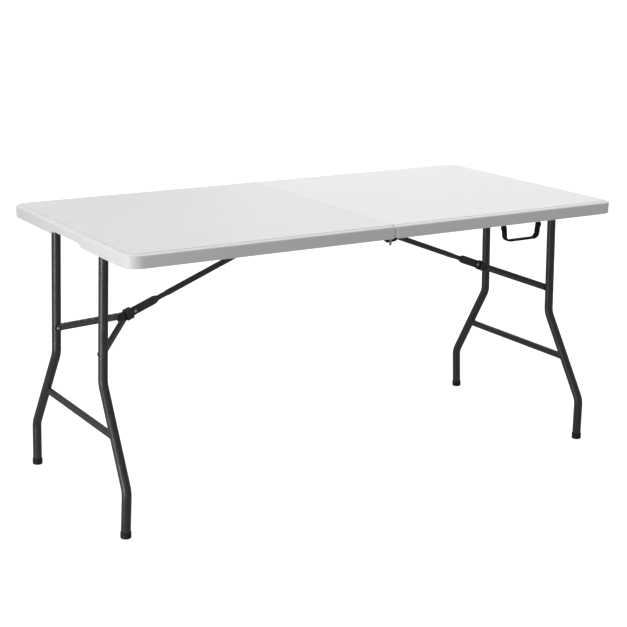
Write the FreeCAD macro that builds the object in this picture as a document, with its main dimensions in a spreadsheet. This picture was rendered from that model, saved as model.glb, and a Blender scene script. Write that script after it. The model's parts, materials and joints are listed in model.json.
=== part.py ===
"""A fold-in-half table with a moulded top and folding wishbone legs.

Millimetres. The origin is on the floor under the middle of the table, +X runs along the
length, +Z is up, and -Y is the side with the carrying handle. The right half (+X) is
modelled; the left half and the far side are mirrored from it wherever they are alike.
"""
import FreeCAD, Part
import math
import os
import re

import Sketcher

Vector = FreeCAD.Vector
X_AXIS, Y_AXIS, Z_AXIS = Vector(1, 0, 0), Vector(0, 1, 0), Vector(0, 0, 1)

DIMENSIONS = {
    # the moulded top, one half reaching from the seam to the end
    "table_length": 1520, "table_width": 760, "table_height": 740,
    "skirt_depth": 35, "rim_width": 14, "panel_skin": 6, "seam_gap": 0.4, "seam_wall": 6,
    "corner_radius": 40, "seam_radius": 8, "seam_low_radius": 10, "edge_radius": 5,
    "skirt_radius": 2.5,
    "field_step": 1.6, "field_inset": 15, "field_trim": 12, "field_radius": 1.2,
    "finger_half_width": 82, "finger_slope": 26, "finger_rise": 10,
    "outer_pad_start": 384, "inner_pad_start": 262, "pad_end": 690,
    "outer_pad_inside": 182, "outer_pad_outside": 330,
    "inner_pad_inside": 26, "inner_pad_outside": 128,
    "seam_pad_start": 62, "seam_pad_end": 212, "seam_pad_outside": 164,
    "pad_depth": 5, "dimple_radius": 9, "dimple_pitch": 34, "dimple_depth": 3.5,
    "seam_wall_reach": 278,
    # side rails, which carry the leg pivots and the centre hinge
    "rail_outside": 358, "rail_wall": 2, "rail_flange": 16, "rail_start": 9, "rail_end": 742,
    "rail_bottom": 704.5,
    # legs
    "pivot_x": 722, "pivot_z": 719, "leg_lean": 1.75, "leg_radius": 12.5, "tube_wall": 1.4,
    "leg_top_y": 154.4, "leg_bend_y": 302.5, "leg_foot_y": 299.3,
    "leg_bend_top": 355.6, "leg_bend_low": 596.1, "leg_end": 706, "leg_bend_radius": 48,
    "foot_radius": 14, "foot_height": 17, "foot_floor": 718.96, "foot_sole": 5, "cup_room": 0.35,
    "crossbar_drop": 478.8, "crossbar_depth": 11, "crossbar_height": 19, "crossbar_offset": 2,
    "crossbar_corner": 3.5, "pivot_reach": 363,
    # folding brace
    "anchor_x": 30, "anchor_z": 706.5, "brace_slope": 21.0657,
    "strut_length": 579.92, "arm_length": 170.88, "strut_radius": 8, "strut_tail": 9.5,
    "tongue_height": 24, "tongue_thickness": 5, "tongue_start": 60, "tongue_taper": 16,
    "neck_length": 24, "neck_radius": 6.9, "shoulder_radius": 1,
    "tongue_tail": 55, "tail_radius": 10,
    "arm_gap": 3, "arm_thickness": 3, "arm_height": 20, "arm_nose": 8.8,
    "arm_straight": 31, "arm_tab_y": 138.6, "arm_tab_start": 163, "arm_end": 9,
    "ring_offset": 19, "ring_length": 20, "ring_inner_height": 26, "ring_inner_width": 18.4,
    "ring_wall": 1.5, "ring_corner": 3, "brace_drop": 282.5,
    # pins, rivets and screws
    "pin_radius": 3, "running_gap": 0.05, "rivet_play": 0.2, "rivet_head_radius": 4.8, "rivet_head": 2,
    "screw_head_radius": 4.5, "screw_head": 2,
    "first_screw": 120, "middle_screw": 400, "last_screw": 670,
    # strut brackets
    "ear_inside": 8.4, "ear_thickness": 2.5, "ear_half_length": 11, "ear_nose": 9, "plate_thickness": 2,
    "plate_half_length": 26, "plate_back": 21,
    "plate_screw_back": 13, "plate_screw_front": 23, "plate_screw_side": 17, "flange_screw": 9.6,
    "plate_half_width": 24,
    # centre hinge
    "hinge_z": 701, "hinge_head_rise": 1.5, "hinge_head_radius": 4.2,
    "leaf_thickness": 3, "leaf_length": 74, "leaf_low": 708,
    "leaf_high": 729, "knuckle_radius": 8, "lobe_half_width": 15,
    "lobe_shoulder": 36,
    "catch_x": -6.4, "catch_z": 699.5, "catch_gap": 1.8, "catch_width": 8, "catch_length": 14.5,
    "catch_thickness": 1.6, "catch_pin_radius": 1.6, "catch_head_radius": 2.6,
    # carrying handle
    "handle_x": 434, "handle_half_width": 59.5, "handle_y": 361, "handle_pivot_z": 694,
    "handle_drop": 36, "strap_width": 20, "strap_thickness": 4.6, "handle_corner": 16,
    "handle_flare": 2, "rivet_room": 0.6, "lug_thickness": 3, "lug_gap": 0.5, "lug_plate": 22,
    "lug_nose": 8, "lug_toe": 4,
}

doc = FreeCAD.newDocument("folding_table")
sheet = doc.addObject("Spreadsheet::Sheet", "Sizes")
for row, (alias, number) in enumerate(DIMENSIONS.items(), start=1):
    sheet.set(f"A{row}", alias)
    sheet.set(f"B{row}", str(number))
    sheet.setAlias(f"B{row}", alias)
doc.recompute()


def size(alias):
    """The sheet's value for an alias."""
    return float(sheet.get(alias))


def formula(words):
    """An expression on the sheet's cells, written with bare aliases."""
    return re.sub(r"[a-z]+(?:_[a-z]+)+", lambda found: "Sizes." + found.group(), words)


def bind(obj, **rules):
    """Ties properties of an object to the sheet."""
    for name, words in rules.items():
        obj.setExpression(name, formula(words))


def place(obj, x="0", y="0", z="0", turn=None):
    """Puts an object at a point given by three formulas, with an optional rotation."""
    obj.Placement = FreeCAD.Placement(Vector(), turn or FreeCAD.Rotation())
    for letter, words in zip("xyz", (x, y, z)):
        obj.setExpression(f"Placement.Base.{letter}", formula(words))
    return obj


# ---- building blocks: primitives, booleans and sketched bodies

def block(name, length, width, height, x="0", y="0", z="0", turn=None):
    obj = doc.addObject("Part::Box", name)
    bind(obj, Length=length, Width=width, Height=height)
    return place(obj, x, y, z, turn)


def round_bar(name, radius, height, x="0", y="0", z="0", along=Z_AXIS):
    obj = doc.addObject("Part::Cylinder", name)
    bind(obj, Radius=radius, Height=height)
    return place(obj, x, y, z, FreeCAD.Rotation(Z_AXIS, along))


def fused(name, *shapes):
    obj = doc.addObject("Part::MultiFuse", name)
    obj.Shapes = list(shapes)
    return obj


def trimmed(name, base, *tools):
    """The base with one or more tools cut away."""
    obj = doc.addObject("Part::Cut", name)
    obj.Base = base
    obj.Tool = tools[0] if len(tools) == 1 else fused(name + "_tools", *tools)
    return obj


def mirrored(name, source, normal):
    obj = doc.addObject("Part::Mirroring", name)
    obj.Source = source
    obj.Normal = normal
    return obj


def new_body(name):
    return doc.addObject("PartDesign::Body", name)


def sketch_on(body, plane, name, height=None):
    """A sketch on one of the body's origin planes, lifted by a formula if given."""
    sketch = body.newObject("Sketcher::SketchObject", name)
    origin = [f for f in body.Origin.OriginFeatures if f.Role == plane][0]
    sketch.AttachmentSupport = [(origin, "")]
    sketch.MapMode = "FlatFace"
    if height:
        sketch.setExpression("AttachmentOffset.Base.z", formula(height))
    return sketch


def outline(sketch, corners):
    """A closed outline whose corners are pairs of formulas."""
    count = len(corners)
    start = sketch.GeometryCount
    turn = 2 * math.pi / count
    ring = [Vector(100 * math.cos(turn * n), 100 * math.sin(turn * n), 0) for n in range(count)]
    for n in range(count):
        sketch.addGeometry(Part.LineSegment(ring[n], ring[(n + 1) % count]))
    for n in range(count):
        sketch.addConstraint(
            Sketcher.Constraint("Coincident", start + n, 2, start + (n + 1) % count, 1)
        )
    for n, corner in enumerate(corners):
        for kind, words, guess in zip(("DistanceX", "DistanceY"), corner, ring[n]):
            index = sketch.addConstraint(Sketcher.Constraint(kind, start + n, 1, guess))
            sketch.setExpression(f"Constraints[{index}]", formula(words))
    return sketch


def circle(sketch, radius, x="0", y="0"):
    index = sketch.addGeometry(Part.Circle(Vector(1, 1, 0), Z_AXIS, 10))
    for kind, words, guess in (("DistanceX", x, 1), ("DistanceY", y, 1)):
        number = sketch.addConstraint(Sketcher.Constraint(kind, index, 3, guess))
        sketch.setExpression(f"Constraints[{number}]", formula(words))
    number = sketch.addConstraint(Sketcher.Constraint("Radius", index, 10))
    sketch.setExpression(f"Constraints[{number}]", formula(radius))
    return sketch


def rectangle(sketch, low, high):
    """A rectangle between two opposite corners, each a pair of formulas."""
    return outline(sketch, [low, (high[0], low[1]), high, (low[0], high[1])])


def bent_line(sketch, corners, radius):
    """An open line through corners (pairs of formula and value) with equal tangent bends."""
    points = [Vector(x[1], y[1], 0) for x, y in corners]
    bend = size(radius)
    straight, arcs = [], []
    starts, ends = [points[0]], []
    for before, corner, after in zip(points, points[1:], points[2:]):
        back = (before - corner).normalize()
        on = (after - corner).normalize()
        half = back.getAngle(on) / 2
        reach = bend / math.tan(half)
        centre = corner + (back + on).normalize() * (bend / math.sin(half))
        middle = centre + (corner - centre).normalize() * bend
        arcs.append(Part.Arc(corner + back * reach, middle, corner + on * reach))
        ends.append(corner + back * reach)
        starts.append(corner + on * reach)
    ends.append(points[-1])
    guides = [
        sketch.addGeometry(Part.LineSegment(a, b), True) for a, b in zip(points, points[1:])
    ]
    for a, b in zip(guides, guides[1:]):
        sketch.addConstraint(Sketcher.Constraint("Coincident", a, 2, b, 1))
    fixed = [(guide, 1) for guide in guides] + [(guides[-1], 2)]
    for (guide, end), corner in zip(fixed, corners):
        for kind, (words, guess) in zip(("DistanceX", "DistanceY"), corner):
            number = sketch.addConstraint(Sketcher.Constraint(kind, guide, end, guess))
            sketch.setExpression(f"Constraints[{number}]", formula(words))
    for n, (a, b) in enumerate(zip(starts, ends)):
        line = sketch.addGeometry(Part.LineSegment(a, b))
        straight.append(line)
        for end, joined in ((1, n == 0), (2, n == len(ends) - 1)):
            rule = ("Coincident", line, end, guides[n], end)
            if not joined:
                rule = ("PointOnObject", line, end, guides[n])
            sketch.addConstraint(Sketcher.Constraint(*rule))
    for n, arc in enumerate(arcs):
        index = sketch.addGeometry(arc)
        first = sketch.getPoint(index, 1)
        near = 1 if (first - ends[n]).Length < 0.01 else 2
        sketch.addConstraint(Sketcher.Constraint("Tangent", straight[n], 2, index, near))
        sketch.addConstraint(Sketcher.Constraint("Tangent", index, 3 - near, straight[n + 1], 1))
        number = sketch.addConstraint(Sketcher.Constraint("Radius", index, bend))
        sketch.setExpression(f"Constraints[{number}]", formula(radius))
    return sketch


def value(alias, sign=1):
    """A formula and its value, for bent_line."""
    return (alias if sign > 0 else "-" + alias, sign * size(alias))


def pad(body, sketch, name, length, reverse=False, midplane=False):
    feature = body.newObject("PartDesign::Pad", name)
    feature.Profile = sketch
    bind(feature, Length=length)
    feature.Reversed = reverse
    feature.Midplane = midplane
    return feature


def pocket(body, sketch, name, length=None, reverse=False, midplane=False):
    """A cut to a length, or right through; it must take material away."""
    doc.recompute()
    before = body.Shape.Volume
    feature = body.newObject("PartDesign::Pocket", name)
    feature.Profile = sketch
    feature.Reversed = reverse
    feature.Midplane = midplane
    if length:
        bind(feature, Length=length)
    else:
        feature.Type = "ThroughAll"
    doc.recompute()
    assert body.Shape.Volume < before - 0.01, f"{name} cuts nothing"
    return feature


def pipe(body, profile, spine, name):
    feature = body.newObject("PartDesign::AdditivePipe", name)
    feature.Profile = profile
    edges = [f"Edge{n + 1}" for n in range(len(spine.Shape.Edges))]
    feature.Spine = (spine, edges)
    return feature


def rounded(body, name, radius, wanted):
    """A fillet on every edge of the body that the wanted test picks."""
    doc.recompute()
    base = body.Tip
    chosen = [f"Edge{n}" for n, edge in enumerate(base.Shape.Edges, start=1) if wanted(edge)]
    assert chosen, f"{name} finds no edge"
    feature = body.newObject("PartDesign::Fillet", name)
    feature.Base = (base, chosen)
    bind(feature, Radius=radius)
    return feature


def upright(edge, x=None):
    """True for a vertical edge, at a given X if one is given."""
    low, high = edge.BoundBox.ZMin, edge.BoundBox.ZMax
    thin = edge.BoundBox.XLength < 0.01 and edge.BoundBox.YLength < 0.01
    return thin and high - low > 1 and (x is None or abs(edge.BoundBox.XMin - x) < 0.1)


def level(edge, z):
    """True for an edge that lies flat at a height."""
    return edge.BoundBox.ZLength < 0.01 and abs(edge.BoundBox.ZMin - z) < 0.01


# ---- the moulded top

END = "table_length / 2"
SIDE = "table_width / 2"
UNDERSIDE = "table_height - skirt_depth"
CEILING = "table_height - panel_skin"


def dimpled_pad(body, name, x_span, y_span, sign):
    """A stiffening pad under the panel with rows of round tack-off dimples."""
    sketch = sketch_on(body, "XY_Plane", name + "_plan", CEILING)
    across = y_span if sign > 0 else ["-" + alias for alias in reversed(y_span)]
    rectangle(sketch, (x_span[0], across[0]), (x_span[1], across[1]))
    pad(body, sketch, name, "pad_depth", reverse=True)
    dimples = sketch_on(body, "XY_Plane", name + "_dimples", CEILING + " - pad_depth")
    pitch = size("dimple_pitch")
    x_count, y_count = [int((size(high) - size(low)) // pitch) for low, high in (x_span, y_span)]
    for i in range(x_count):
        for j in range(y_count):
            circle(dimples, "dimple_radius", spread(x_span, i, x_count),
                   ("" if sign > 0 else "-") + spread(y_span, j, y_count))
    pocket(body, dimples, name + "_dimpled", "dimple_depth", reverse=True)


def spread(span, index, count):
    """The formula for one of several evenly pitched places about the middle of a span."""
    step = index - (count - 1) / 2
    return f"(({span[0]} + {span[1]}) / 2 + ({step}) * dimple_pitch)"


def half_top():
    """One half of the top: a skin with a deep rim, open towards the floor."""
    body = new_body("top_body")
    slab = sketch_on(body, "XY_Plane", "slab_plan", "table_height - field_step")
    rectangle(slab, ("seam_gap", "-" + SIDE), (END, SIDE))
    pad(body, slab, "slab", "skirt_depth - field_step", reverse=True)
    end, seam = size("table_length") / 2, size("seam_gap")
    base = size("table_height") - size("skirt_depth")
    rounded(body, "outer_corners", "corner_radius", lambda e: upright(e, end))
    rounded(body, "seam_corners", "seam_radius", lambda e: upright(e, seam))
    ledge = size("table_height") - size("field_step")
    rounded(body, "top_edge", "edge_radius",
            lambda e: level(e, ledge) and e.BoundBox.Center.x > 1)
    rounded(body, "skirt_edge", "skirt_radius",
            lambda e: level(e, base) and e.BoundBox.Center.x > 1)

    field = sketch_on(body, "XY_Plane", "field_plan", "table_height - field_step")
    inset = SIDE + " - field_inset"
    far = END + " - field_inset"
    outline(field, [
        ("seam_gap", f"-({inset})"), (f"{far} - field_trim", f"-({inset})"),
        (far, f"-({inset}) + field_trim"), (far, f"{inset} - field_trim"),
        (f"{far} - field_trim", inset), ("seam_gap", inset),
    ])
    pad(body, field, "raised_field", "field_step")
    top = size("table_height")
    rounded(body, "field_edge", "field_radius",
            lambda e: level(e, top) and e.BoundBox.Center.x > 1)

    recess = sketch_on(body, "XY_Plane", "recess_plan", UNDERSIDE)
    inner_x, inner_y = f"{END} - rim_width", f"{SIDE} - rim_width"
    wall = "seam_gap + seam_wall"
    outline(recess, [
        ("-1", f"-({inner_y})"), (inner_x, f"-({inner_y})"), (inner_x, inner_y),
        ("-1", inner_y), ("-1", "seam_wall_reach"), (wall, "seam_wall_reach"),
        (wall, "-seam_wall_reach"), ("-1", "-seam_wall_reach"),
    ])
    pocket(body, recess, "recess", "skirt_depth - panel_skin", reverse=True)

    fingers = sketch_on(body, "YZ_Plane", "finger_plan", f"{END} - rim_width * 2")
    low, high = f"{UNDERSIDE} - 1", f"{UNDERSIDE} + finger_rise"
    outer = "finger_half_width + finger_slope"
    outline(fingers, [
        ("-(" + outer + ")", low), ("-finger_half_width", high), ("finger_half_width", high),
        (outer, low),
    ])
    pocket(body, fingers, "finger_grip", "rim_width * 3", reverse=True)

    for side, sign in (("far", 1), ("near", -1)):
        dimpled_pad(body, "outer_pad_" + side, ("outer_pad_start", "pad_end"),
                    ("outer_pad_inside", "outer_pad_outside"), sign)
        dimpled_pad(body, "inner_pad_" + side, ("inner_pad_start", "pad_end"),
                    ("inner_pad_inside", "inner_pad_outside"), sign)
        dimpled_pad(body, "seam_pad_" + side, ("seam_pad_start", "seam_pad_end"),
                    ("inner_pad_inside", "seam_pad_outside"), sign)
    return trimmed("half_top", body, seam_nose("far", "seam_wall_reach"),
                   seam_nose("near", f"-{SIDE}"))


def seam_nose(side, start):
    """What is cut away to round one skirt's bottom corner at the seam."""
    reach = f"{SIDE} - seam_wall_reach"
    square = block(side + "_nose_square", "seam_low_radius", reach, "seam_low_radius",
                   x="seam_gap", y=start, z=UNDERSIDE)
    quarter = round_bar(side + "_nose_round", "seam_low_radius", reach,
                        x="seam_gap + seam_low_radius", y=start,
                        z=UNDERSIDE + " + seam_low_radius", along=Y_AXIS)
    return trimmed(side + "_nose", square, quarter)


# ---- side rails and the centre hinge

def side_rail():
    """A far-side steel angle: an upright web with a flange under the panel."""
    body = new_body("rail_body")
    section = sketch_on(body, "YZ_Plane", "rail_section", "rail_start")
    inside = "rail_outside - rail_wall"
    lip = "rail_outside - rail_flange"
    outline(section, [
        ("rail_outside", "rail_bottom"), ("rail_outside", CEILING), (lip, CEILING),
        (lip, f"{CEILING} - rail_wall"), (inside, f"{CEILING} - rail_wall"),
        (inside, "rail_bottom"),
    ])
    pad(body, section, "rail_angle", "rail_end - rail_start")
    bearing = sketch_on(body, "XZ_Plane", "bearing_plan")
    circle(bearing, "leg_radius + running_gap", "pivot_x", "pivot_z")
    pocket(body, bearing, "bearing")
    return body


def leaf(name, inner_face, toward):
    """A far-side hinge leaf: a strap on the rail with a lobe round the hinge pin."""
    sign = "" if toward > 0 else "-"
    strap = block(
        name + "_strap", "leaf_length - lobe_half_width", "leaf_thickness", "leaf_high - leaf_low",
        x="lobe_half_width" if toward > 0 else "-leaf_length", y=inner_face, z="leaf_low",
    )
    body = new_body(name + "_lobe")
    plan = sketch_on(body, "XZ_Plane", name + "_plan")
    outline(plan, [
        ("0", "hinge_z - knuckle_radius"),
        (f"{sign}lobe_half_width", "hinge_z - knuckle_radius"),
        (f"{sign}lobe_shoulder", "leaf_low"), (f"{sign}lobe_shoulder", "leaf_high"),
        (f"{sign}knuckle_radius", "leaf_high"), ("0", "hinge_z + knuckle_radius"),
    ])
    pad(body, plan, name + "_plate", "leaf_thickness", reverse=True)
    place(body, y=inner_face)
    knuckle = round_bar(name + "_knuckle", "knuckle_radius", "leaf_thickness",
                        y=inner_face, z="hinge_z", along=Y_AXIS)
    hole = round_bar(
        name + "_hole", "pin_radius + running_gap" if toward > 0 else "pin_radius",
        "leaf_thickness * 3", y=inner_face + " - leaf_thickness", z="hinge_z", along=Y_AXIS,
    )
    return trimmed(name, fused(name + "_solid", strap, body, knuckle), hole)


def hinge_pin():
    """A far-side hinge pin with a head outside the leaves and one inside."""
    shank = round_bar("hinge_shank", "pin_radius", "leaf_thickness * 2 + rail_wall",
                      y="rail_outside - rail_wall - leaf_thickness", z="hinge_z", along=Y_AXIS)
    head = round_bar("hinge_head", "hinge_head_radius", "hinge_head_rise",
                     y="rail_outside + leaf_thickness", z="hinge_z", along=Y_AXIS)
    tail = round_bar("hinge_tail", "hinge_head_radius", "rivet_head",
                     y="rail_outside - rail_wall - leaf_thickness - rivet_head",
                     z="hinge_z", along=Y_AXIS)
    return fused("far_hinge_pin", shank, head, tail)


def hinge_catch():
    """A far-side zinc catch that hangs from a small rivet on the left leaf."""
    outer = "rail_outside + leaf_thickness + catch_gap"
    plate = block("catch_plate", "catch_width", "catch_thickness", "catch_length",
                  x="catch_x - catch_width / 2", y=outer, z="catch_z - catch_length")
    crown = round_bar("catch_crown", "catch_width / 2", "catch_thickness",
                      x="catch_x", y=outer, z="catch_z", along=Y_AXIS)
    hole = round_bar("catch_hole", "catch_pin_radius + running_gap", "catch_thickness * 3",
                     x="catch_x", y=outer + " - catch_thickness", z="catch_z", along=Y_AXIS)
    return trimmed("far_hinge_catch", fused("catch_solid", plate, crown), hole)


def catch_rivet():
    """The small rivet that the catch hangs from."""
    face = "rail_outside + leaf_thickness"
    shank = round_bar("catch_shank", "catch_pin_radius", "catch_gap + catch_thickness + rivet_play",
                      x="catch_x", y=face, z="catch_z", along=Y_AXIS)
    head = round_bar("catch_head", "catch_head_radius", "1",
                     x="catch_x", y=face + " + catch_gap + catch_thickness + rivet_play",
                     z="catch_z", along=Y_AXIS)
    return fused("far_catch_rivet", shank, head)


# ---- legs, modelled in their own frame at the pivot and leaned outwards

def leaned(obj):
    """Sets a leg piece on the pivot, leaning out towards the end of the table."""
    lean = FreeCAD.Rotation(Y_AXIS, -size("leg_lean"))
    return place(obj, x="pivot_x", z="pivot_z", turn=lean)


def leg_tube():
    """The far leg: a round tube with two bends, coped to the pivot tube at its top."""
    body = new_body("leg_body")
    spine = sketch_on(body, "YZ_Plane", "leg_line")
    bent_line(spine, [
        (value("leg_top_y"), ("0", 0)),
        (value("leg_top_y"), value("leg_bend_top", -1)),
        (value("leg_bend_y"), value("leg_bend_low", -1)),
        (value("leg_foot_y"), value("leg_end", -1)),
    ], "leg_bend_radius")
    section = sketch_on(body, "XY_Plane", "leg_section")
    circle(section, "leg_radius", y="leg_top_y")
    circle(section, "leg_radius - tube_wall", y="leg_top_y")
    doc.recompute()
    pipe(body, section, spine, "leg_pipe")
    leaned(body)
    cope = round_bar("leg_cope", "leg_radius", "table_width", x="pivot_x", y="-" + SIDE,
                     z="pivot_z", along=Y_AXIS)
    hole = new_body("leg_rivet_hole")
    plan = sketch_on(hole, "XZ_Plane", "leg_rivet_plan")
    circle(plan, "pin_radius", y="-brace_drop")
    pad(hole, plan, "leg_rivet_bore", "table_width", reverse=True)
    leaned(hole)
    return trimmed("far_leg", body, cope, hole)


def pivot_tube():
    """The tube across the tops of the legs, turning in the side rails."""
    outer = round_bar("pivot_outer", "leg_radius", "pivot_reach * 2",
                      x="pivot_x", y="-pivot_reach", z="pivot_z", along=Y_AXIS)
    bore = round_bar("pivot_bore", "leg_radius - tube_wall", "pivot_reach * 3",
                     x="pivot_x", y="-pivot_reach * 1.5", z="pivot_z", along=Y_AXIS)
    return trimmed("right_leg_pivot_tube", outer, bore)


def foot_cap():
    """The far foot: a plastic cup pushed on the end of the leg."""
    body = new_body("foot_body")
    plan = sketch_on(body, "XY_Plane", "foot_plan", "-foot_floor")
    circle(plan, "foot_radius", y="leg_foot_y")
    pad(body, plan, "foot_solid", "foot_height")
    sole = -size("foot_floor")
    rounded(body, "foot_edge", "skirt_radius", lambda e: level(e, sole))
    cup = sketch_on(body, "XY_Plane", "foot_cup_plan", "foot_height - foot_floor")
    circle(cup, "leg_radius + cup_room", y="leg_foot_y")
    pocket(body, cup, "foot_cup", "foot_height - foot_sole")
    leaned(body)
    return body


def leg_crossbar():
    """The lower bar between the splayed legs, coped to fit them."""
    body = new_body("crossbar_body")
    plan = sketch_on(body, "XZ_Plane", "crossbar_section")
    half_depth, half_height = "crossbar_depth / 2", "crossbar_height / 2"
    rectangle(plan, (f"-crossbar_offset - {half_depth}", f"-crossbar_drop - {half_height}"),
              (f"-crossbar_offset + {half_depth}", f"-crossbar_drop + {half_height}"))
    pad(body, plan, "crossbar_bar", "leg_bend_y * 1.5", midplane=True)
    rounded(body, "crossbar_edges", "crossbar_corner", lambda e: e.BoundBox.YLength > 100)
    bore = sketch_on(body, "XZ_Plane", "crossbar_bore_plan")
    half_depth, half_height = f"({half_depth} - tube_wall)", f"({half_height} - tube_wall)"
    rectangle(bore, (f"-crossbar_offset - {half_depth}", f"-crossbar_drop - {half_height}"),
              (f"-crossbar_offset + {half_depth}", f"-crossbar_drop + {half_height}"))
    pocket(body, bore, "crossbar_bore", "leg_bend_y * 2", midplane=True)
    leaned(body)
    tools = []
    for sign in (1, -1):
        run = Vector(0, sign * (size("leg_bend_y") - size("leg_top_y")),
                     size("leg_bend_top") - size("leg_bend_low"))
        lean = FreeCAD.Rotation(Y_AXIS, -size("leg_lean"))
        start = lean.multVec(Vector(0, sign * size("leg_top_y"), -size("leg_bend_top")))
        tool = doc.addObject("Part::Cylinder", "crossbar_cope")
        bind(tool, Radius="leg_radius", Height="leg_bend_low")
        tool.Placement = FreeCAD.Placement(
            start + Vector(size("pivot_x"), 0, size("pivot_z")),
            FreeCAD.Rotation(Z_AXIS, lean.multVec(run)),
        )
        outside = block("crossbar_stub", "crossbar_depth * 3", "leg_bend_y", "leg_bend_low")
        stub_turn = lean * FreeCAD.Rotation(X_AXIS, sign * math.degrees(
            math.atan2(run.y * sign, -run.z)))
        outside.Placement = FreeCAD.Placement(
            start + Vector(size("pivot_x"), 0, size("pivot_z")), stub_turn)
        corner = Vector(-size("crossbar_depth") * 1.5, 0 if sign > 0 else -size("leg_bend_y"),
                        -size("leg_bend_low"))
        outside.Placement.Base += stub_turn.multVec(corner)
        tools += [tool, outside]
    return trimmed("right_leg_crossbar", body, *tools)


def leg_rivet():
    """The far brace rivet's part in the leg, with its outer head."""
    body = new_body("leg_rivet_body")
    plan = sketch_on(body, "XZ_Plane", "leg_rivet_section", "-(leg_top_y - leg_radius + rivet_play)")
    circle(plan, "pin_radius", y="-brace_drop")
    pad(body, plan, "leg_rivet_shank", "leg_radius * 2 - rivet_play", reverse=True)
    head = sketch_on(body, "XZ_Plane", "leg_rivet_head_plan", "-(leg_top_y + leg_radius)")
    circle(head, "rivet_head_radius", y="-brace_drop")
    pad(body, head, "leg_rivet_head", "rivet_head", reverse=True)
    leaned(body)
    return body


# ---- folding brace, modelled in its own frame: X runs down the brace from an anchor

SLOPE = FreeCAD.Rotation(Y_AXIS, size("brace_slope"))


def at_anchor(obj):
    return place(obj, x="anchor_x", z="anchor_z", turn=SLOPE)


def at_knee(obj):
    """Sets a piece on the brace's middle rivet."""
    return place(obj, x="anchor_x + strut_length * cos(brace_slope * 1deg)",
                 z="anchor_z - strut_length * sin(brace_slope * 1deg)", turn=SLOPE)


def strut():
    """The long tube, flattened towards the knee, with a rounded tail past the rivet."""
    body = new_body("strut_body")
    neck_end = "strut_length - tongue_start - tongue_taper"
    tube_end = neck_end + " - neck_length"
    tube = sketch_on(body, "YZ_Plane", "strut_section", "-strut_tail")
    circle(tube, "strut_radius")
    pad(body, tube, "strut_tube", tube_end + " + strut_tail")
    doc.recompute()
    stop = size("strut_length") - size("tongue_start") - size("tongue_taper") - size("neck_length")
    rounded(body, "tube_shoulder", "shoulder_radius",
            lambda e: abs(e.BoundBox.XMin - stop) < 0.01 and e.BoundBox.XLength < 0.01)
    neck = sketch_on(body, "YZ_Plane", "neck_section", tube_end + " - 1")
    circle(neck, "neck_radius")
    pad(body, neck, "strut_neck", "neck_length + 1")
    wide = sketch_on(body, "YZ_Plane", "taper_start", neck_end)
    circle(wide, "neck_radius")
    flat = sketch_on(body, "YZ_Plane", "taper_end", "strut_length - tongue_start")
    half_flat = ("tongue_thickness / 2", "tongue_height / 2")
    rectangle(flat, ["-" + words for words in half_flat], half_flat)
    doc.recompute()
    loft = body.newObject("PartDesign::AdditiveLoft", "strut_taper")
    loft.Profile = wide
    loft.Sections = [flat]
    doc.recompute()
    tongue = sketch_on(body, "XZ_Plane", "tongue_plan")
    rectangle(tongue, ("strut_length - tongue_start", "-tongue_height / 2"),
              ("strut_length + tongue_tail", "tongue_height / 2"))
    pad(body, tongue, "tongue", "tongue_thickness", midplane=True)
    tail = size("strut_length") + size("tongue_tail")
    rounded(body, "tail_round", "tail_radius",
            lambda e: abs(e.BoundBox.XMin - tail) < 0.01 and e.BoundBox.XLength < 0.01
            and e.BoundBox.YLength > 1)
    at_anchor(body)
    bore = new_body("strut_bore_body")
    inside = sketch_on(bore, "YZ_Plane", "strut_bore_section", "-strut_tail - 1")
    circle(inside, "strut_radius - tube_wall")
    pad(bore, inside, "strut_bore", tube_end + " + strut_tail - tube_wall")
    at_anchor(bore)
    holes = []
    for name, distance, radius in (
        ("anchor_hole", "0", "pin_radius + running_gap"), ("knee_hole", "strut_length", "pin_radius"),
    ):
        drill = new_body(name)
        plan = sketch_on(drill, "XZ_Plane", name + "_plan")
        circle(plan, radius, x=distance)
        pad(drill, plan, name + "_bore", "leg_radius * 3", midplane=True)
        holes.append(at_anchor(drill))
    return trimmed("right_brace_strut", body, bore, *holes)


def knee_rivet():
    """The bright rivet through the strut's tongue and both arms."""
    reach = "(arm_gap + arm_thickness + rivet_play)"
    shank = round_bar("knee_shank", "pin_radius", f"2 * {reach}")
    heads = [round_bar("knee_head", "rivet_head_radius", "rivet_head") for _ in range(2)]
    knee_x = "anchor_x + strut_length * cos(brace_slope * 1deg)"
    knee_z = "anchor_z - strut_length * sin(brace_slope * 1deg)"
    across = FreeCAD.Rotation(Z_AXIS, Y_AXIS)
    place(shank, knee_x, f"-{reach}", knee_z, across)
    place(heads[0], knee_x, reach, knee_z, across)
    place(heads[1], knee_x, f"-{reach} - rivet_head", knee_z, across)
    return fused("right_brace_joint_rivet", shank, *heads)


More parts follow.
